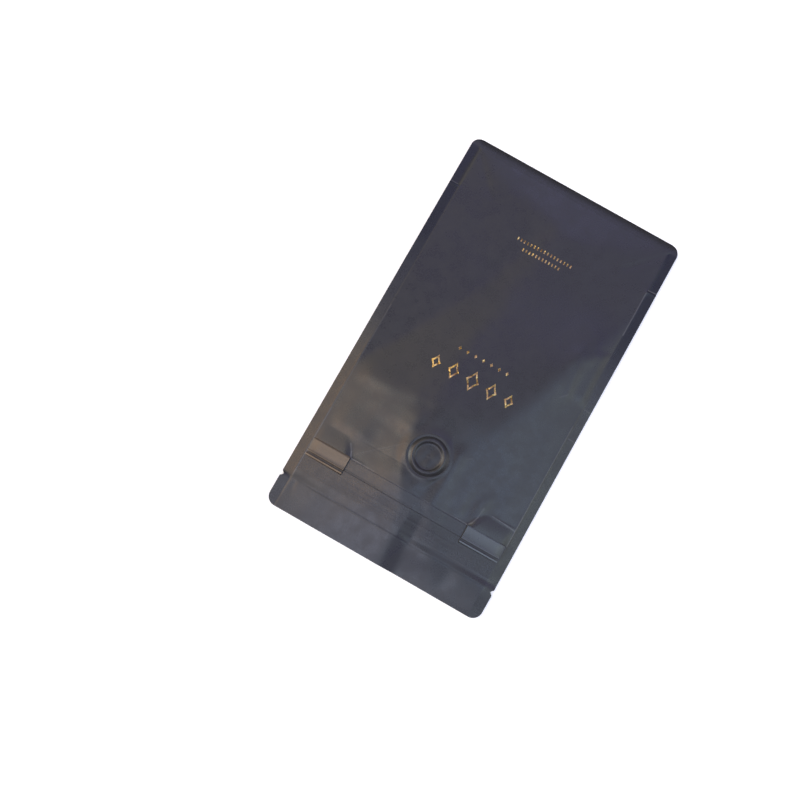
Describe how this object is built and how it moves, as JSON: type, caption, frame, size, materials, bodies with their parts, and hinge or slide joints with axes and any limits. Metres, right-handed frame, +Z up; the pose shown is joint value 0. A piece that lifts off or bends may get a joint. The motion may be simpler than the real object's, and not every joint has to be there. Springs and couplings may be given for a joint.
{
  "type": "coffee bag",
  "caption": "Flat-bottom coffee pouch in matte dark film, lying flat, with welded side fins, a pocket zipper strip, a round degassing valve and tear notches.",
  "frame": {"origin": "middle of the pouch's outline, on the plane its back panel lies on", "axes": "+X to the pouch's right as its front is seen with the mouth up, +Y along its length to the mouth, +Z up out of the front panel"},
  "size_m": [0.14, 0.25, 0.0107],
  "materials": {
    "film": "matte soft-touch laminate film, charcoal",
    "foil": "hot-stamped gold foil print"
  },
  "bodies": {
    "root": {"pouch": "film", "zipper": "film", "valve": "film"}
  },
  "joints": []
}
